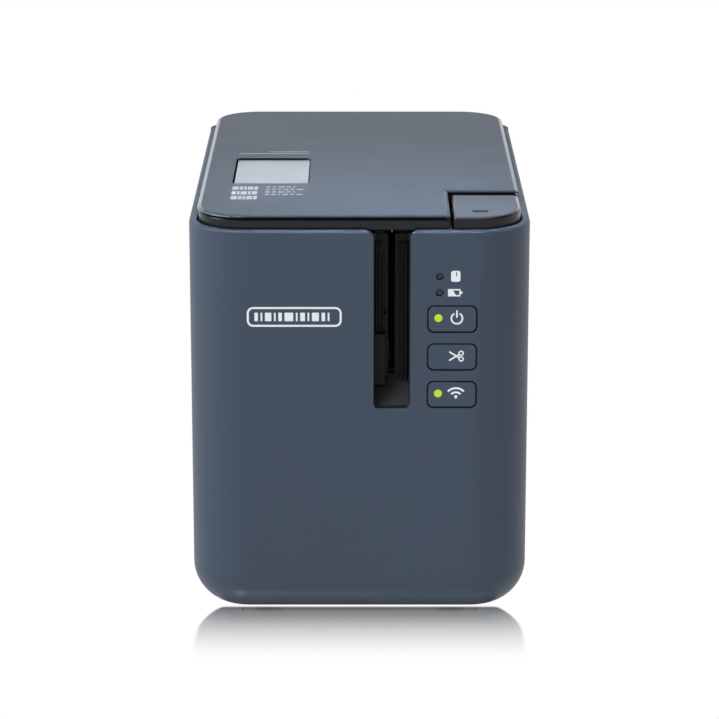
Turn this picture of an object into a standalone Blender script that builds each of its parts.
"""A desktop label maker, as an assembly of separate named solids.

Frame: X to the right, Y to the back, Z up; the origin is on the table under the middle of the casing.
All sizes below are in millimetres; finish() turns them into metres.
"""

import math

import bmesh
import bpy
from mathutils import Matrix, Vector

MM = 0.001

# Casing
HALF_WIDTH = 59.0
FRONT_Y = -96.0
REAR_Y = 96.0
TOP_Z = 146.0
SHELL_Z = 2.0  # underside of the casing above the table
RIM_Z = 141.2  # top edge of the front and side walls
WALL = 2.6
FRONT_CORNER_R = 20.0
BOTTOM_R = 15.0
REAR_CORNER_R = 11.0
REAR_SEAM_Y = 84.5
REAR_TOP_Z = 135.4  # behind the lid, whose rear edge swings down here as it opens
INNER_X = HALF_WIDTH - WALL
INNER_FRONT_Y = FRONT_Y + WALL
GAP = 0.3

# Tape slot and front controls
TAPE_X = 11.1
SLOT_HALF = 6.3
SLOT_BOTTOM_Z = 77.8
BUTTON_X = (23.6, 40.05)
BUTTON_HEIGHT = 8.95
BUTTON_GAP = 0.45  # round a button, in its hole
BUTTON_ZS = {"power_button": 110.25, "feed_cut_button": 96.8, "wifi_button": 83.4}
LENS_X = 27.05
LENS_RISE = 0.35  # of the lit lenses, above the middle of their buttons
INDICATOR_X = 27.4
INDICATOR_ZS = {"tape_status_lens": 125.3, "battery_status_lens": 119.6}

# Lid
LID_HALF = 55.9
LID_FRONT_Y = -93.0
LID_REAR_Y = 95.5
LID_CORNER_R = 17.0
PANEL_Z = 145.1
COVER_Z = (140.6, 144.8)
NOTCH_X = 31.0
NOTCH_Y = -53.4
WINDOW = (-45.4, -18.0, -41.4, 2.9)
HINGE_Y = 91.5
HINGE_Z = 141.8
KNUCKLE_R = 2.3
PIN_R = 1.0
EAR_X = 38.0

# Deck and cassette bay
DECK_Z = (137.2, 139.6)
BAY = (-52.5, 6.0, -58.0, 34.0)
BAY_FLOOR_Z = 84.3
CHASSIS_Z = (80.0, 82.0)
LEGS = ((-37.0, -32.0), (37.0, -32.0), (-37.0, 58.0), (37.0, 58.0))
FEET = {
    "foot_front_left": (-33.0, -68.0),
    "foot_front_right": (33.0, -68.0),
    "foot_rear_left": (-33.0, 76.0),
    "foot_rear_right": (33.0, 76.0),
}

# Gear train, seen from above: reduction gear, main gear, then platen, tape drive and ribbon
MODULE = 0.8
PRESSURE_ANGLE = math.radians(20.0)
BACKLASH = 0.22
TEETH = {"pinion": 12, "reduction": 44, "small": 14, "main": 30, "platen": 16, "tape": 14, "ribbon": 20}
UPPER_GEARS_Z = (74.2, 78.8)
LOWER_GEARS_Z = (68.0, 72.5)
PLATEN = (16.2, -38.0)
HOLDER_PIVOT = (16.2, 4.0)
HOLDER_Z = (84.5, 128.2)
RELEASE_ROD = (32.0, -10.0)

# Cutter
BLADE_PIVOT = (10.5, 77.0)
CAM = (35.0, 66.0)
CUTTER_PINION = (35.0, 50.0)
CAM_TEETH = 30
CUTTER_TEETH = 10
CRANK_R = 5.0
CAM_SWEEP = 110.0
BLADE_SWEEP = 19.38
BLADE_Y = (-68.8, -67.6)

# Cover release
RELEASE_TOP_Z = 145.3
RELEASE_BOTTOM_Z = 135.0
POCKET_FLOOR_Z = 131.0
STEM = (40.0, 45.0, -83.0, -79.0)

# Sockets at the rear: left, right, bottom, top
BOARD_Z = (20.0, 21.6)
RECESS = (-46.0, 46.0, 18.0, 48.0)
RECESS_Y = 86.0
SOCKETS = {"dc_jack": (-32.5, -23.5), "usb_port": (-8.0, 4.0), "serial_port": (18.0, 31.0)}
SOCKET_Z = (21.9, 33.4)

MATERIALS = {
    "slate_plastic": ((0.075, 0.095, 0.120), 0.45, 0.0),
    "black_plastic": ((0.012, 0.013, 0.015), 0.40, 0.0),
    "window": ((0.55, 0.60, 0.66), 0.15, 0.0),
    "rubber": ((0.02, 0.02, 0.02), 0.90, 0.0),
    "roller_rubber": ((0.05, 0.05, 0.055), 0.80, 0.0),
    "steel": ((0.55, 0.56, 0.58), 0.35, 1.0),
    "aluminium": ((0.70, 0.71, 0.73), 0.40, 1.0),
    "gear_plastic": ((0.72, 0.70, 0.64), 0.45, 0.0),
    "board": ((0.02, 0.14, 0.06), 0.50, 0.0),
    "green_lens": ((0.45, 0.80, 0.02), 0.30, 0.0),
    "dark_lens": ((0.03, 0.04, 0.05), 0.20, 0.0),
    "ceramic": ((0.75, 0.72, 0.62), 0.30, 0.0),
}


# ---------------------------------------------------------------- drawing helpers


def material(name):
    found = bpy.data.materials.get(name)
    if found:
        return found
    colour, roughness, metallic = MATERIALS[name]
    made = bpy.data.materials.new(name)
    made.use_nodes = True
    shader = made.node_tree.nodes["Principled BSDF"]
    shader.inputs["Base Color"].default_value = (*colour, 1.0)
    shader.inputs["Roughness"].default_value = roughness
    shader.inputs["Metallic"].default_value = metallic
    made.diffuse_color = (*colour, 1.0)
    return made


def arc(centre, radius, start, end, steps):
    """Points on an arc, from start to end in degrees, both included."""
    angles = [math.radians(start + (end - start) * i / steps) for i in range(steps + 1)]
    return [(centre[0] + radius * math.cos(a), centre[1] + radius * math.sin(a)) for a in angles]


def rounded(x0, x1, y0, y1, radii=0.0, steps=6):
    """A rectangle whose corners are rounded, anticlockwise from its low-x, low-y corner."""
    if not hasattr(radii, "__len__"):
        radii = (radii,) * 4
    corners = ((x0, y0, 1, 1, 180), (x1, y0, -1, 1, 270), (x1, y1, -1, -1, 0), (x0, y1, 1, -1, 90))
    points = []
    for (x, y, sx, sy, start), r in zip(corners, radii):
        if r > 0:
            points += arc((x + sx * r, y + sy * r), r, start, start + 90, steps)
        else:
            points.append((x, y))
    return points


def circle(centre, radius, steps=24):
    return arc(centre, radius, 0, 360 - 360 / steps, steps - 1)


def loft(rings):
    """A closed solid through rings of 3-D points that hold the same number of points each."""
    mesh = bmesh.new()
    loops = [[mesh.verts.new(p) for p in ring] for ring in rings]
    count = len(rings[0])
    for low, high in zip(loops, loops[1:]):
        for i in range(count):
            j = (i + 1) % count
            mesh.faces.new((low[i], low[j], high[j], high[i]))
    mesh.faces.new(list(reversed(loops[0])))
    mesh.faces.new(loops[-1])
    return mesh


def along_z(outline, z0, z1):
    return loft([[(x, y, z) for x, y in outline] for z in (z0, z1)])


def along_y(outline, y0, y1):
    """The outline holds (x, z) points."""
    return loft([[(x, y, z) for x, z in outline] for y in (y1, y0)])


def along_x(outline, x0, x1):
    """The outline holds (y, z) points."""
    return loft([[(x, y, z) for y, z in outline] for x in (x0, x1)])


def block(x0, x1, y0, y1, z0, z1, radius=0.0):
    return along_z(rounded(x0, x1, y0, y1, radius), z0, z1)


def rod(centre, radius, low, high, axis="z", steps=24):
    """A cylinder about an axis; centre holds the other two coordinates in X, Y, Z order."""
    make = {"x": along_x, "y": along_y, "z": along_z}[axis]
    return make(circle(centre, radius, steps), low, high)


def to_object(name, mesh):
    data = bpy.data.meshes.new(name)
    mesh.normal_update()
    bmesh.ops.triangulate(mesh, faces=[f for f in mesh.faces if len(f.verts) > 4])
    mesh.to_mesh(data)
    mesh.free()
    made = bpy.data.objects.new(name, data)
    bpy.context.scene.collection.objects.link(made)
    return made


def combine(obj, meshes, operation):
    """Joins each mesh to the object, or cuts it away, with a Boolean that is applied."""
    for mesh in meshes:
        tool = to_object("tool", mesh)
        modifier = obj.modifiers.new(operation, "BOOLEAN")
        modifier.operation = operation
        modifier.object = tool
        bpy.context.view_layer.update()
        graph = bpy.context.evaluated_depsgraph_get()
        result = bpy.data.meshes.new_from_object(obj.evaluated_get(graph))
        obj.modifiers.clear()
        obj.data = result
        bpy.data.objects.remove(tool)


def solid(name, base, look, add=(), cut=(), then_add=(), then_cut=(), origin=(0.0, 0.0, 0.0)):
    """Builds a named solid in millimetres, then puts it in metres with its origin where asked."""
    made = to_object(name, base)
    combine(made, add, "UNION")
    combine(made, cut, "DIFFERENCE")
    combine(made, then_add, "UNION")
    combine(made, then_cut, "DIFFERENCE")
    made.data.transform(Matrix.Scale(MM, 4) @ Matrix.Translation(-Vector(origin)))
    made.location = Vector(origin) * MM
    made.data.materials.clear()
    made.data.materials.append(material(look))
    made.data.shade_smooth()
    made.data.set_sharp_from_angle(angle=math.radians(35.0))
    return made


# ---------------------------------------------------------------- casing


def fillet(radius, steps=6):
    """(inset, height) pairs of a rounded bottom edge, from the bottom up."""
    angles = [math.radians(90 * i / steps) for i in range(steps + 1)]
    return [(radius * (1 - math.sin(a)), radius * (1 - math.cos(a))) for a in angles]


def casing_ring(offset, inset, z, rear):
    """A level outline of the casing, offset inwards from its outer face."""
    d = offset + inset
    radius = FRONT_CORNER_R - d
    outline = rounded(d - HALF_WIDTH, HALF_WIDTH - d, FRONT_Y + d, rear, (radius, radius, 0, 0), 8)
    return [(x, y, z) for x, y in outline]


def slot_cutter():
    """The tape slot, open at the top, where the walls beside it turn outwards."""
    left, right = TAPE_X - SLOT_HALF, TAPE_X + SLOT_HALF
    flare = 3.0
    bottom = arc((left + 2.2, SLOT_BOTTOM_Z + 2.2), 2.2, 180, 270, 4)
    bottom += arc((right - 2.2, SLOT_BOTTOM_Z + 2.2), 2.2, 270, 360, 4)
    top = arc((right + flare, RIM_Z - flare), flare, 180, 90, 5)
    top += [(right + flare, RIM_Z + 3), (left - flare, RIM_Z + 3)]
    top += arc((left - flare, RIM_Z - flare), flare, 90, 0, 5)
    return along_y(bottom + top, FRONT_Y - 3, FRONT_Y + WALL + 2)


def front_hole(outline):
    return along_y(outline, FRONT_Y - 3, FRONT_Y + WALL + 3)


def main_housing():
    outer = [casing_ring(0, inset, SHELL_Z + up, REAR_SEAM_Y) for inset, up in fillet(BOTTOM_R)]
    outer.append(casing_ring(0, 0, RIM_Z - 0.6, REAR_SEAM_Y))
    outer.append(casing_ring(0, 0.6, RIM_Z, REAR_SEAM_Y))
    rear = REAR_SEAM_Y + 5
    inner = [casing_ring(WALL, inset, SHELL_Z + WALL + up, rear) for inset, up in fillet(BOTTOM_R - WALL)]
    inner.append(casing_ring(WALL, 0, RIM_Z + 5, rear))
    cuts = [loft(inner), block(-42, 42, -79, REAR_SEAM_Y + 5, SHELL_Z - 2, SHELL_Z + 6), slot_cutter()]
    for z in BUTTON_ZS.values():
        half = BUTTON_HEIGHT / 2 + BUTTON_GAP
        x0, x1 = BUTTON_X[0] - BUTTON_GAP, BUTTON_X[1] + BUTTON_GAP
        cuts.append(front_hole(rounded(x0, x1, z - half, z + half, 2.3, 5)))
    for z in INDICATOR_ZS.values():
        cuts.append(front_hole(circle((INDICATOR_X, z), 1.35, 16)))
    solid("main_housing", loft(outer), "slate_plastic", cut=cuts)


def base_plate():
    plate = block(-41.7, 41.7, -78.7, 84.2, SHELL_Z + 0.2, 4.8)
    flange = block(-44.4, 44.4, -81, 84.2, 4.9, 6.9)
    link = block(-41.5, 41.5, -78.5, 84.0, 4.4, 5.4)
    bosses = [rod((sx * 28, y), 3.0, 6.5, 19.7, steps=8) for sx in (-1, 1) for y in (-60, 70)]
    cuts = [rod(xy, 5.9, 0, 3.2, steps=16) for xy in FEET.values()]
    for xy in LEGS:
        cuts += [rod(xy, 3.3, 0, 4.6, steps=12), rod(xy, 1.6, 0, 10, steps=8)]
    for i in range(7):
        y = -24 + 8 * i
        cuts.append(block(-18, 18, y, y + 3, 0, 10))
    solid("base_plate", plate, "black_plastic", add=[flange, link, *bosses], cut=cuts)


def feet():
    for name, xy in FEET.items():
        rings = [[(x, y, z) for x, y in circle(xy, r, 16)] for r, z in ((4.9, 0), (5.5, 0.6), (5.5, 2.9))]
        solid(name, loft(rings), "rubber")


def base_screws():
    for i, xy in enumerate(LEGS):
        head = rod(xy, 2.9, 2.4, 4.3, steps=12)
        cross = [
            block(xy[0] - 1.7, xy[0] + 1.7, xy[1] - 0.4, xy[1] + 0.4, 2, 3.4),
            block(xy[0] - 0.4, xy[0] + 0.4, xy[1] - 1.7, xy[1] + 1.7, 2, 3.4),
        ]
        solid(f"base_screw_{i + 1}", head, "steel", add=[rod(xy, 1.3, 4, 16, steps=8)], cut=cross)


def rear_ring(offset, inset, y, top):
    d = offset + inset
    radius = BOTTOM_R - d
    outline = rounded(d - HALF_WIDTH, HALF_WIDTH - d, SHELL_Z + d, top, (radius, radius, 0, 0), 6)
    return [(x, y, z) for x, z in outline]


def rear_rings(offset, start, top):
    """Rings from the seam to the flat back, rounded by what the offset leaves of the corner radius."""
    radius = REAR_CORNER_R - offset
    centre = REAR_Y - REAR_CORNER_R
    rings = [rear_ring(offset, 0, start, top)]
    for i in range(6):
        a = math.radians(90 * i / 5)
        rings.append(rear_ring(offset, radius * (1 - math.cos(a)), centre + radius * math.sin(a), top))
    return list(reversed(rings))


def hinge_ears():
    neck = [(86.5, 134.0), (90.8, 134.0), (91.3, 139.8), (91.3, 142.0), (89.5, 142.0)]
    ears = []
    for side in (-1, 1):
        low, high = side * EAR_X - 2.5, side * EAR_X + 2.5
        ears += [rod((HINGE_Y, HINGE_Z), KNUCKLE_R, low, high, "x", 20), along_x(neck, low, high)]
    return ears


def rear_cover():
    seam = REAR_SEAM_Y + GAP
    x0, x1, z0, z1 = RECESS
    hollow = to_object("hollow", loft(rear_rings(WALL, seam - 5, REAR_TOP_Z - WALL)))
    combine(hollow, [block(x0 - 2.2, x1 + 2.2, RECESS_Y - 2.4, REAR_Y + 2, z0 - 2.2, z1 + 2.2)], "DIFFERENCE")
    inside = bmesh.new()
    inside.from_mesh(hollow.data)
    bpy.data.objects.remove(hollow)
    wall = block(x0 - 2.2, x1 + 2.2, RECESS_Y - 2.4, RECESS_Y + 2, z0 - 2.2, z1 + 2.2)
    cuts = [along_y(rounded(x0, x1, z0, z1, 3, 4), RECESS_Y, REAR_Y + 5)]
    for left, right in SOCKETS.values():
        low, high = SOCKET_Z
        cuts.append(block(left - 0.4, right + 0.4, RECESS_Y - 6, RECESS_Y + 1, low - 0.4, high + 0.4))
    for row in range(6):
        z = 96 + 6 * row
        for middle in (-28, 28):
            cuts.append(block(middle - 15, middle + 15, REAR_Y - 6, REAR_Y + 3, z, z + 2.4))
    bores = [rod((HINGE_Y, HINGE_Z), PIN_R + 0.05, s * EAR_X - 4, s * EAR_X + 4, "x", 16) for s in (-1, 1)]
    outer = loft(rear_rings(0, seam, RIM_Z))
    r = REAR_CORNER_R - WALL
    under_lid = rounded(-INNER_X, INNER_X, seam - 5, REAR_Y - WALL, (0, 0, r, r))
    removed = [inside, along_z(under_lid, REAR_TOP_Z, RIM_Z + 5)]
    removed.append(block(-50.5, 50.5, seam - 5, REAR_Y + 5, REAR_TOP_Z, RIM_Z + 5))
    joined = [wall, *hinge_ears()]
    solid("rear_cover", outer, "black_plastic", cut=removed, then_add=joined, then_cut=cuts + bores)


def top_deck():
    edge = INNER_X - GAP
    front = INNER_FRONT_Y + GAP
    corner = FRONT_CORNER_R - WALL - GAP
    plate = along_z(rounded(-edge, edge, front, 84.2, (corner, corner, 0, 0), 8), *DECK_Z)
    pocket = along_z(rounded(30, edge, front, NOTCH_Y + 1.1, (0, corner, 0, 0), 8), 128.6, DECK_Z[1] - 0.2)
    x0, x1, y0, y1 = STEM
    cuts = [
        block(BAY[0], 27, -60, 36, 120, 150, 2.0),
        block(31.8, 70, -110, NOTCH_Y - 0.5, POCKET_FLOOR_Z, 150),
        block(TAPE_X - 5.7, TAPE_X + 5.7, -100, -79.5, 120, 150),
        block(TAPE_X - 1.8, TAPE_X + 1.8, -81, -59, 120, 150),
        block(20, 29, -87, -78.5, 120, 150),
        block(x0 - 0.6, x1 + 0.6, y0 - 0.6, y1 + 0.6, 120, 150),
        rod(RELEASE_ROD, 2.5, 120, 150, steps=12),
    ]
    solid("top_deck", plate, "black_plastic", add=[pocket], cut=cuts)


def cassette_tray():
    x0, x1, y0, y1 = BAY
    floor = CHASSIS_Z[1] + GAP
    outer = block(x0 - 1.8, x1 + 1.8, y0 - 1.8, y1 + 1.8, floor, DECK_Z[0] - GAP)
    cuts = [
        block(x0, x1, y0, y1, BAY_FLOOR_Z, 150, 1.5),
        block(1, x1 + 5, y0 - 5, -26, BAY_FLOOR_Z, 150),
        block(-3, x1 + 5, -48.5, -27.5, floor - 5, BAY_FLOOR_Z + 2),
        rod(SPINDLES["tape"], 3.0, floor - 5, BAY_FLOOR_Z + 5, steps=16),
        rod(SPINDLES["ribbon"], 3.0, floor - 5, BAY_FLOOR_Z + 5, steps=16),
    ]
    guide = block(-40, -36, -30, -26, BAY_FLOOR_Z - 0.5, BAY_FLOOR_Z + 6)
    solid("cassette_tray", outer, "black_plastic", cut=cuts, then_add=[guide])


# ---------------------------------------------------------------- lid and its release


def lid_outline(inset):
    """The lid from above, with the corner that the release button takes left out."""
    x, front, rear = LID_HALF - inset, LID_FRONT_Y + inset, LID_REAR_Y - inset
    r = LID_CORNER_R - inset
    points = arc((r - x, front + r), r, 180, 270, 8)
    points += [(NOTCH_X - inset, front), (NOTCH_X - inset, NOTCH_Y + inset), (x, NOTCH_Y + inset)]
    points += arc((x - r, rear - r), r, 0, 90, 8)
    points += arc((r - x, rear - r), r, 90, 180, 8)
    return points


def top_panel():
    rings = ((0.0, PANEL_Z), (0.0, TOP_Z - 0.7), (0.25, TOP_Z - 0.25), (0.8, TOP_Z))
    mesh = loft([[(x, y, z) for x, y in lid_outline(inset)] for inset, z in rings])
    x0, x1, y0, y1 = WINDOW
    solid("top_panel", mesh, "slate_plastic", cut=[block(x0, x1, y0, y1, 140, 150, 1.5)])


def top_cover():
    low, high = COVER_Z
    x0, x1, y0, y1 = WINDOW
    slab = along_z(lid_outline(0.4), low, high)
    adds = [
        along_y([(21, 122.5), (24.2, 122.5), (25.0, 123.4), (25.0, low + 1), (21, low + 1)], -83.5, -79.5),
    ]
    adds.append(block(-34.4, 34.4, 93.6, 94.9, 136.9, low + 1))
    bores = []
    ears = []
    for side in (-1, 1):
        middle = side * EAR_X
        adds.append(rod((HINGE_Y, HINGE_Z), KNUCKLE_R, middle - 8.3, middle + 8.3, "x", 20))
        ears.append(block(middle - 2.8, middle + 2.8, 87.6, 100, 130, 150))
        bores.append(rod((HINGE_Y, HINGE_Z), PIN_R + 0.25, middle - 10, middle + 10, "x", 16))
    pockets = [
        block(-51, -5, 9, 82, low - 2, low + 1.6),
        block(1, 51, 9, 82, low - 2, low + 1.6),
        block(-51, -13, -76, -47, low - 2, low + 1.6),
        block(-12, 16, -76, 3, low - 2, low + 1.6),
        block(36, 51, -50, 3, low - 2, low + 1.6),
    ]
    window = block(x0, x1, y0, y1, 130, 150, 1.5)
    solid("top_cover", slab, "black_plastic", add=adds, cut=[*ears, *bores, *pockets, window])


def cassette_window():
    x0, x1, y0, y1 = WINDOW
    pane = block(x0 + GAP, x1 - GAP, y0 + GAP, y1 - GAP, 143.2, 145.4, 1.2)
    solid("cassette_window", pane, "window")


def hinge_pins():
    for name, side in (("hinge_pin_left", -1), ("hinge_pin_right", 1)):
        pin = rod((HINGE_Y, HINGE_Z), PIN_R, side * EAR_X - 8.3, side * EAR_X + 8.3, "x", 16)
        solid(name, pin, "steel")


def release_outline(inset):
    x, front, r = LID_HALF - 0.3 - inset, LID_FRONT_Y + 0.2 + inset, LID_CORNER_R - 0.3 - inset
    points = [(NOTCH_X + 1.8 + inset, front)]
    points += arc((x - r, front + r), r, 270, 360, 8)
    points += [(x, NOTCH_Y - 1.8 - inset), (NOTCH_X + 1.8 + inset, NOTCH_Y - 1.8 - inset)]
    return points


def release_button():
    x0, x1, y0, y1 = STEM
    rings = ((0.0, RELEASE_BOTTOM_Z), (0.0, RELEASE_TOP_Z - 0.6), (0.6, RELEASE_TOP_Z))
    cap = loft([[(x, y, z) for x, y in release_outline(inset)] for inset, z in rings])
    inside = along_z(release_outline(1.5), RELEASE_BOTTOM_Z - 2, RELEASE_TOP_Z - 1.7)
    stem = along_y(
        [(x0, 128.3), (x1 - 3, 128.3), (x1, 131.3), (x1, RELEASE_TOP_Z - 1), (x0, RELEASE_TOP_Z - 1)], y0, y1
    )
    centre = ((x0 + x1) / 2, (y0 + y1) / 2, RELEASE_TOP_Z)
    solid("release_button", cap, "black_plastic", cut=[inside], then_add=[stem], origin=centre)


def release_spring():
    """A compression spring about the button's stem."""
    centre = ((STEM[0] + STEM[1]) / 2, (STEM[2] + STEM[3]) / 2)
    radius, wire, turns, per_turn, sides = 4.4, 0.45, 4, 10, 5
    low, high = POCKET_FLOOR_Z + GAP + wire, RELEASE_TOP_Z - 2.0 - wire
    rings = []
    for i in range(turns * per_turn + 1):
        a = 2 * math.pi * i / per_turn
        z = low + (high - low) * i / (turns * per_turn)
        out = Vector((math.cos(a), math.sin(a), 0))
        ring = []
        for k in range(sides):
            b = -2 * math.pi * k / sides
            reach = radius + wire * math.cos(b)
            ring.append((centre[0] + out.x * reach, centre[1] + out.y * reach, z + wire * math.sin(b)))
        rings.append(ring)
    solid("release_spring", loft(rings), "steel")


def latch_slider():
    slope = STEM[0] + 2.0 - 128.3 + 0.5
    ramp = [(36.0, 123.0), (123.0 + slope, 123.0), (128.0 + slope, 128.0), (36.0, 128.0)]
    bar = block(25.4, 49.5, -84.2, -77.8, 124.3, 127)
    relief = block(28.5, 34.5, -86, -76, 120, 125.4)
    solid("latch_slider", bar, "gear_plastic", cut=[along_y(ramp, -83.4, -78.6), relief])


# ---------------------------------------------------------------- front controls


def front_buttons():
    for name, z in BUTTON_ZS.items():
        half = BUTTON_HEIGHT / 2
        x0, x1 = BUTTON_X
        face = [
            [(x, y, z2) for x, z2 in rounded(x0 + d, x1 - d, z - half + d, z + half - d, 1.9 - d, 5)]
            for d, y in ((0.0, -92.4), (0.0, FRONT_Y + 0.4), (0.3, FRONT_Y + 0.1))
        ]
        flange = along_y(rounded(x0 - 0.9, x1 + 0.9, z - half - 0.9, z + half + 0.9, 3, 5), -93.1, -91.8)
        plunger = rod(((x0 + x1) / 2 + 3, z), 1.8, -92.5, -90.0, "y", 12)
        cuts = []
        if name != "feed_cut_button":
            cuts.append(rod((LENS_X, z + LENS_RISE), 1.6, -100, -80, "y", 20))
        origin = ((x0 + x1) / 2, FRONT_Y, z)
        solid(name, loft(face), "slate_plastic", add=[flange, plunger], cut=cuts, origin=origin)


def lenses():
    for name, z in (("power_lens", BUTTON_ZS["power_button"]), ("wifi_lens", BUTTON_ZS["wifi_button"])):
        solid(name, rod((LENS_X, z + LENS_RISE), 1.4, FRONT_Y + 0.1, -91.0, "y", 20), "green_lens")
    for name, z in INDICATOR_ZS.items():
        solid(name, rod((INDICATOR_X, z), 1.1, FRONT_Y + 0.7, -89.0, "y", 16), "dark_lens")


def key_board():
    board = block(21, 43, -86.8, -85.2, 76, 127.8)
    middle = (BUTTON_X[0] + BUTTON_X[1]) / 2 + 3
    switches = [block(middle - 3, middle + 3, -89.0, -86.3, z - 3, z + 3) for z in BUTTON_ZS.values()]
    solid("key_board", board, "board", add=switches)


def tape_exit_chute():
    """The channel behind the slot, open at the top, with a floor that slopes up to the cutter."""
    outer = block(TAPE_X - 7.6, TAPE_X + 7.6, -93.1, -79, 76, DECK_Z[0] - GAP)
    profile = [(-100, 78.6), (-92.5, 78.6), (-81, 86.0), (-81, 150), (-100, 150)]
    inner = along_x(profile, TAPE_X - 6.0, TAPE_X + 6.0)
    slit = block(TAPE_X - 1.4, TAPE_X + 1.4, -85, -75, 86.5, 150)
    solid("tape_exit_chute", outer, "black_plastic", cut=[inner, slit])


# ---------------------------------------------------------------- gears


def involute(angle):
    return math.tan(angle) - angle


def gear_outline(teeth, phase):
    """A spur gear's outline, with straight flanks, and a tooth centred at phase, in degrees."""
    pitch = MODULE * teeth / 2
    base = pitch * math.cos(PRESSURE_ANGLE)
    root, tip = pitch - 1.15 * MODULE, pitch + 0.9 * MODULE
    half_pitch = math.pi / (2 * teeth) - BACKLASH / (2 * pitch)
    flank = []
    for radius in (root, tip):
        angle = math.acos(min(1.0, base / radius))
        flank.append((radius, half_pitch + involute(PRESSURE_ANGLE) - involute(angle)))
    points = []
    for i in range(teeth):
        middle = math.radians(phase + 360 * i / teeth)
        turned = [(r, -a) for r, a in flank] + [(r, a) for r, a in reversed(flank)]
        points += [(r * math.cos(middle + a), r * math.sin(middle + a)) for r, a in turned]
    return points


def meshed_phase(phase, teeth, direction, next_teeth):
    """Phase of the next gear, whose centre lies in that direction, so that its gap meets a tooth."""
    return direction + 180 + (direction - phase) * teeth / next_teeth + 180 / next_teeth


def step_from(centre, direction, distance):
    a = math.radians(direction)
    return centre[0] + distance * math.cos(a), centre[1] + distance * math.sin(a)


def spacing(one, other):
    return MODULE * (one + other) / 2


def moved(outline, centre):
    return [(x + centre[0], y + centre[1]) for x, y in outline]


PLATEN_DIRECTION = 0.0
TAPE_DIRECTION = -69.5
RIBBON_DIRECTION = 143.0
REDUCTION_DIRECTION = 75.0
PINION_DIRECTION = 45.0
MAIN = step_from(PLATEN, 180 + PLATEN_DIRECTION, spacing(TEETH["main"], TEETH["platen"]))
SPINDLES = {
    "tape": step_from(MAIN, TAPE_DIRECTION, spacing(TEETH["main"], TEETH["tape"])),
    "ribbon": step_from(MAIN, RIBBON_DIRECTION, spacing(TEETH["main"], TEETH["ribbon"])),
}
REDUCTION = step_from(MAIN, REDUCTION_DIRECTION, spacing(TEETH["main"], TEETH["small"]))
MOTOR = step_from(REDUCTION, PINION_DIRECTION, spacing(TEETH["reduction"], TEETH["pinion"]))
PHASES = {"main": 0.0}
for key, heading in (("platen", PLATEN_DIRECTION), ("tape", TAPE_DIRECTION), ("ribbon", RIBBON_DIRECTION)):
    PHASES[key] = meshed_phase(PHASES["main"], TEETH["main"], heading, TEETH[key])
PHASES["small"] = meshed_phase(PHASES["main"], TEETH["main"], REDUCTION_DIRECTION, TEETH["small"])
PHASES["reduction"] = PHASES["small"]
PHASES["pinion"] = meshed_phase(PHASES["reduction"], TEETH["reduction"], PINION_DIRECTION, TEETH["pinion"])
PRESS_ROLLER = (15.6, SPINDLES["tape"][1])


def gear(name, key, centre, levels, bore, add=()):
    mesh = along_z(moved(gear_outline(TEETH[key], PHASES[key]), centre), *levels)
    holes = [rod(centre, bore, levels[0] - 20, levels[1] + 20, steps=12)] if bore else []
    solid(name, mesh, "gear_plastic", add=add, cut=holes, origin=(*centre, levels[0]))


def drive_train():
    low, high = LOWER_GEARS_Z[1] - 0.5, UPPER_GEARS_Z[1]
    small = along_z(moved(gear_outline(TEETH["small"], PHASES["small"]), REDUCTION), low, high)
    gear("reduction_gear", "reduction", REDUCTION, LOWER_GEARS_Z, 2.2, add=[small])
    gear("main_gear", "main", MAIN, UPPER_GEARS_Z, 2.2)
    gear("tape_drive_gear", "tape", SPINDLES["tape"], UPPER_GEARS_Z, 2.3)
    gear("ribbon_gear", "ribbon", SPINDLES["ribbon"], UPPER_GEARS_Z, 2.3)
    gear("platen_gear", "platen", PLATEN, UPPER_GEARS_Z, 1.6)
    gear("motor_pinion", "pinion", MOTOR, LOWER_GEARS_Z, 0, add=[rod(MOTOR, 1.2, 60, 73.2, steps=12)])


def splined_spindle(name, centre, core, fin, top):
    """A drive spindle: a round shaft with three fins where it enters the cassette."""
    shaft = rod(centre, 2.2, UPPER_GEARS_Z[0] - 0.6, top, steps=16)
    collar = rod(centre, core, BAY_FLOOR_Z + 0.4, top - 4, steps=18)
    fins = []
    for i in range(3):
        outline = [(0, -0.5), (fin, -0.5), (fin, 0.5), (0, 0.5)]
        a = math.radians(120 * i + 30)
        turned = [(x * math.cos(a) - y * math.sin(a), x * math.sin(a) + y * math.cos(a)) for x, y in outline]
        fins.append(along_z(moved(turned, centre), BAY_FLOOR_Z + 1.4, top - 6))
    solid(name, shaft, "black_plastic", add=[collar, *fins], origin=(*centre, BAY_FLOOR_Z))


# ---------------------------------------------------------------- chassis, head and rollers


def chassis_frame():
    plate = along_z(rounded(-48, 48, -62, 66, 3.0, 2), *CHASSIS_Z)
    adds = [rod(xy, 3.6, 7.2, CHASSIS_Z[1] - 0.5, steps=12) for xy in LEGS]
    adds.append(rod(MAIN, 1.9, UPPER_GEARS_Z[0] - 0.6, CHASSIS_Z[1] - 0.5, steps=12))
    adds.append(rod(REDUCTION, 1.9, LOWER_GEARS_Z[0] - 0.4, CHASSIS_Z[1] - 0.5, steps=12))
    adds.append(rod(RELEASE_ROD, 1.1, CHASSIS_Z[1] - 0.5, 92, steps=12))
    cuts = [rod(xy, 1.45, 0, 17, steps=12) for xy in LEGS]
    cuts += [rod(xy, 2.7, 70, 90, steps=12) for xy in SPINDLES.values()]
    cuts.append(block(PLATEN[0] - 2.4, PLATEN[0] + 8, PLATEN[1] - 3, PLATEN[1] + 3, 70, 90))
    solid("chassis_frame", plate, "steel", add=adds, cut=cuts)


def head_heatsink():
    plate = block(5.8, 8.5, -47, -29, 82.3, 131)
    foot = block(-2.4, 8, -47, -29, 82.3, 84.0)
    slots = [block(0, 7, y, y + 1.6, 96 + 0.0, 126) for y in (-46.0, -31.6)]
    solid("head_heatsink", plate, "aluminium", add=[foot], cut=slots)


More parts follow.
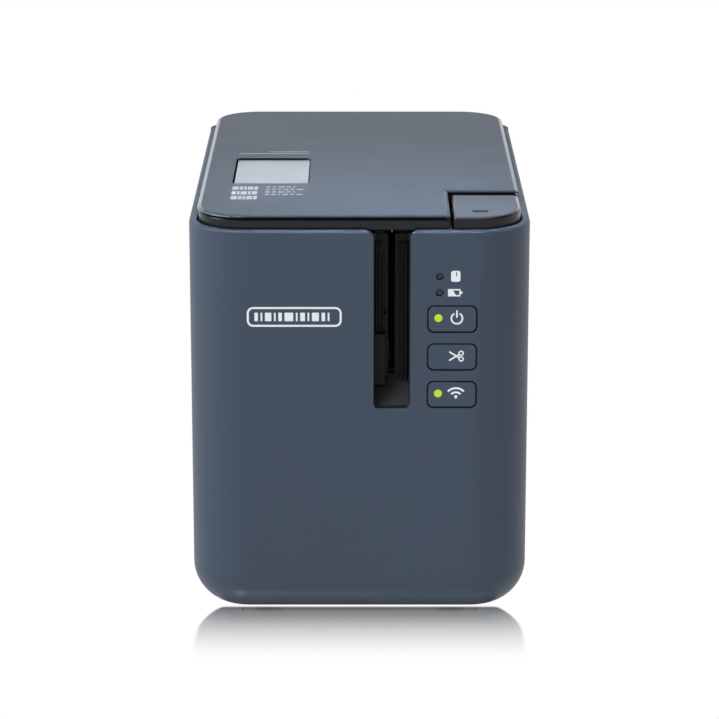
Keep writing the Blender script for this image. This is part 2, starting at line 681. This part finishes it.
def print_head():
    plate = block(8.8, 9.7, -44, -32, 88, 128)
    line = block(9.2, 10.0, -38.8, -37.2, 90, 126)
    solid("print_head", plate, "ceramic", add=[line])


def roller_holder():
    """A C-shaped arm that carries both rollers and swings about its rear end."""
    x, y = HOLDER_PIVOT
    outline = [(12.6, -61), (25.6, -61), (25.6, -20), (x + 5.5, y - 3)]
    outline += arc((x, y), 5.5, -20, 200, 10) + [(12.6, -24)]
    low, high = HOLDER_Z
    holder = along_z(outline, low, high)
    hollow = block(5, 23.4, -70, -24, low + 2, high - 2)
    waist = block(5, 40, -24.5, 20, low + 4, high - 4)
    sleeve = rod(HOLDER_PIVOT, 4.0, low + 1.5, high - 1, steps=16)
    web = along_z(web_outline(), low + 0.1, high - 0.1)
    link = block(21, 25.6, -30, -20, low + 0.1, high - 0.1)
    bores = [rod(xy, 1.8, 70, 140, steps=12) for xy in (PLATEN, PRESS_ROLLER)]
    bores.append(rod(HOLDER_PIVOT, 2.1, 70, 140, steps=12))
    solid("roller_holder", holder, "black_plastic", cut=[hollow, waist], then_add=[sleeve, link, web],
          then_cut=bores, origin=(x, y, low))


def web_outline():
    """The upright wall from the roller end of the holder back to its pivot sleeve."""
    x, y = HOLDER_PIVOT
    return [(23.4, -26), (25.6, -26), (25.6, -20), (x + 4.2, y), (x + 1.5, y - 2.8), (23.2, -21)]


def rollers():
    low, high = HOLDER_Z[0] + 2.5, HOLDER_Z[1] - 2.5
    x, y = PLATEN
    solid("platen_roller", rod(PLATEN, 6.0, low + 0.5, high - 0.5, steps=32), "roller_rubber",
          cut=[rod(PLATEN, 1.6, 70, 140, steps=16)], origin=(x, y, low))
    solid("platen_shaft", rod(PLATEN, 1.5, UPPER_GEARS_Z[0] - 0.4, HOLDER_Z[1] + 1, steps=16), "steel",
          origin=(x, y, low))
    press = rod(PRESS_ROLLER, 4.9, low + 0.5, high - 0.5, steps=24)
    axle = rod(PRESS_ROLLER, 1.5, HOLDER_Z[0] + 0.3, HOLDER_Z[1] + 0.5, steps=16)
    solid("press_roller", press, "roller_rubber", add=[axle], origin=(*PRESS_ROLLER, low))
    top = HOLDER_Z[1] + 2
    pin = rod(HOLDER_PIVOT, 1.8, CHASSIS_Z[1] + GAP, top, steps=12)
    solid("holder_pivot_pin", pin, "steel", add=[rod(HOLDER_PIVOT, 3.4, top - 1.5, top - 0.1, steps=12)])


def release_rod():
    """The push rod that the closed lid holds down."""
    base = rod(RELEASE_ROD, 2.0, 83.5, 140.2, steps=12)
    x, y = RELEASE_ROD
    finger = along_y([(x - 4.8, 100), (x, 96), (x, 108), (x - 4.8, 104)], y - 3, y + 3)
    socket = rod(RELEASE_ROD, 1.4, 80, 96, steps=12)
    solid("release_rod", base, "gear_plastic", add=[finger], cut=[socket], origin=(x, y, 100))


# ---------------------------------------------------------------- motors and cutter


def drive_motor():
    can = rod(MOTOR, 12, 38, 66, steps=24)
    solid("drive_motor", can, "steel", cut=[rod(MOTOR, 1.6, 58, 70, steps=12)])
    x, y = MOTOR
    bracket = block(x - 12, x + 17, y - 13, y + 17, 66.3, 67.5)
    legs = [block(x + 15.2, x + 16.7, y - 8, y + 8, 66.7, CHASSIS_Z[0] - GAP)]
    legs.append(block(x - 8, x + 8, y + 15.2, y + 16.7, 66.7, CHASSIS_Z[0] - GAP))
    solid("motor_bracket", bracket, "steel", add=legs, cut=[rod(MOTOR, 4, 60, 70, steps=20)])


def cutter_frame():
    plate = along_y(rounded(-6, 50.2, 44, 134, 2, 3), -66.0, -64.8)
    adds = [
        block(49.0, 50.2, -77.0, -65, 46, 82),
        along_y(rounded(22, 50.2, 46, 82, 1, 3), -77.0, -75.8),
        block(20, 46, -66, -52, 82.3, 83.8),
        rod(BLADE_PIVOT, 1.6, -70.2, -65, "y", 16),
        rod(CAM, 1.8, -76.5, -70.4, "y", 16),
    ]
    cuts = [
        along_y(rounded(TAPE_X - 2.6, TAPE_X + 2.6, 84, 150, 1, 3), -70, -60),
        rod(CUTTER_PINION, 3.0, -70, -60, "y", 20),
        block(29, 60, -70, -60, 90, 150),
        block(-20, 2, -70, -60, 40, 72),
        along_y(rounded(16, 24, 50, 60, 1, 3), -70, -60),
    ]
    solid("cutter_frame", plate, "steel", add=adds, cut=cuts)
    fixed = along_y([(3.5, 81), (10.1, 81), (10.1, 131), (8.6, 132.5), (3.5, 132.5)], -67.3, -66.3)
    solid("fixed_blade", fixed, "steel")


def blade_angle(point):
    return math.degrees(math.atan2(point[1] - BLADE_PIVOT[1], point[0] - BLADE_PIVOT[0]))


def moving_blade():
    """The blade drawn closed, with its slotted arm, then opened by its sweep."""
    towards_pivot = math.degrees(math.atan2(BLADE_PIVOT[1] - CAM[1], BLADE_PIVOT[0] - CAM[0]))
    closed_pin = step_from(CAM, towards_pivot - CAM_SWEEP / 2, CRANK_R)
    arm_angle = blade_angle(closed_pin)
    reach = 28.4
    half = 3.6
    blade = [(-0.9, 4.0), (-0.9, 53.0), (3.5, 53.0), (6.5, 20.0), (5.0, 0.0), (0.0, -5.0), (-4.5, 0.0)]
    arm = [(0.0, -half), (reach, -half), (reach, half), (0.0, half)]
    slot = arc((20.9, 0), 1.95, 90, 270, 6) + arc((25.0, 0), 1.95, -90, 90, 6)
    turn = Matrix.Rotation(math.radians(BLADE_SWEEP), 4, "Y")

    def placed(outline, angle=0.0):
        a = math.radians(angle)
        turned = [(x * math.cos(a) - z * math.sin(a), x * math.sin(a) + z * math.cos(a)) for x, z in outline]
        mesh = along_y(turned, *BLADE_Y)
        mesh.transform(turn)
        mesh.transform(Matrix.Translation((BLADE_PIVOT[0], 0, BLADE_PIVOT[1])))
        return mesh

    cutters = [placed(slot, arm_angle), rod(BLADE_PIVOT, 1.9, -75, -60, "y", 16)]
    for mesh in cutters[:1]:
        for vert in mesh.verts:
            vert.co.y = -66 if vert.co.y > -68 else -71
    origin = (BLADE_PIVOT[0], BLADE_Y[0], BLADE_PIVOT[1])
    solid("moving_blade", placed(blade), "steel", add=[placed(arm, arm_angle)], cut=cutters, origin=origin)


def cutter_drive():
    towards_pivot = math.degrees(math.atan2(BLADE_PIVOT[1] - CAM[1], BLADE_PIVOT[0] - CAM[0]))
    pin = step_from(CAM, towards_pivot + CAM_SWEEP / 2, CRANK_R)
    wheel = along_y(moved(gear_outline(CAM_TEETH, 0.0), CAM), -74.5, -70.6)
    crank = rod(pin, 1.3, -72, -67.0, "y", 14)
    bore = rod(CAM, 2.1, -80, -60, "y", 16)
    solid("cutter_cam_gear", wheel, "gear_plastic", add=[crank], cut=[bore], origin=(CAM[0], -74.5, CAM[1]))
    phase = meshed_phase(0.0, CAM_TEETH, -90.0, CUTTER_TEETH)
    pinion = along_y(moved(gear_outline(CUTTER_TEETH, phase), CUTTER_PINION), -74.5, -70.6)
    shaft = rod(CUTTER_PINION, 1.2, -75.2, -60, "y", 12)
    origin = (CUTTER_PINION[0], -74.5, CUTTER_PINION[1])
    solid("cutter_pinion", pinion, "gear_plastic", add=[shaft], origin=origin)
    can = rod(CUTTER_PINION, 8.5, -64.5, -42, "y", 20)
    solid("cutter_motor", can, "steel", cut=[rod(CUTTER_PINION, 1.5, -70, -58, "y", 12)])


# ---------------------------------------------------------------- electronics


def main_board():
    solid("main_board", block(-33, 33, -70, 80, *BOARD_Z), "board")
    solid("wireless_module", block(-28, -8, 10, 34, BOARD_Z[1] + GAP, 24.6), "steel")


def sockets():
    low, high = SOCKET_Z
    front, back = 70.0, RECESS_Y + 0.4

    def body(name, look, cut, add=()):
        left, right = SOCKETS[name]
        solid(name, block(left, right, front, back, low, high), look, cut=cut, then_add=add)

    middle = (low + high) / 2
    x = sum(SOCKETS["dc_jack"]) / 2
    body("dc_jack", "black_plastic", [rod((x, middle), 3.3, 77, 90, "y", 20)],
         [rod((x, middle), 0.9, 76, 85.5, "y", 12)])
    x = sum(SOCKETS["usb_port"]) / 2
    hole = [(x - 4.3, middle - 4), (x + 4.3, middle - 4), (x + 4.3, middle + 2.2), (x + 2.5, middle + 4)]
    hole += [(x - 2.5, middle + 4), (x - 4.3, middle + 2.2)]
    tongue = block(x - 2.8, x + 2.8, 75, 85, middle - 1.6, middle + 1.4)
    body("usb_port", "steel", [along_y(hole, 76, 90)], [tongue])
    x = sum(SOCKETS["serial_port"]) / 2
    hole = [block(x - 4.9, x + 4.9, 74, 90, middle - 3.4, middle + 3.2)]
    hole.append(block(x - 2, x + 2, 74, 90, middle - 4.8, middle - 3))
    body("serial_port", "black_plastic", hole)


def main():
    for obj in list(bpy.data.objects):
        bpy.data.objects.remove(obj)
    main_housing()
    base_plate()
    feet()
    base_screws()
    rear_cover()
    top_deck()
    cassette_tray()
    top_panel()
    top_cover()
    cassette_window()
    hinge_pins()
    release_button()
    release_spring()
    latch_slider()
    front_buttons()
    lenses()
    key_board()
    tape_exit_chute()
    drive_train()
    splined_spindle("tape_drive_shaft", SPINDLES["tape"], 2.6, 3.6, 104)
    splined_spindle("ribbon_spindle", SPINDLES["ribbon"], 2.8, 4.2, 104)
    chassis_frame()
    head_heatsink()
    print_head()
    roller_holder()
    rollers()
    release_rod()
    drive_motor()
    cutter_frame()
    moving_blade()
    cutter_drive()
    main_board()
    sockets()


main()
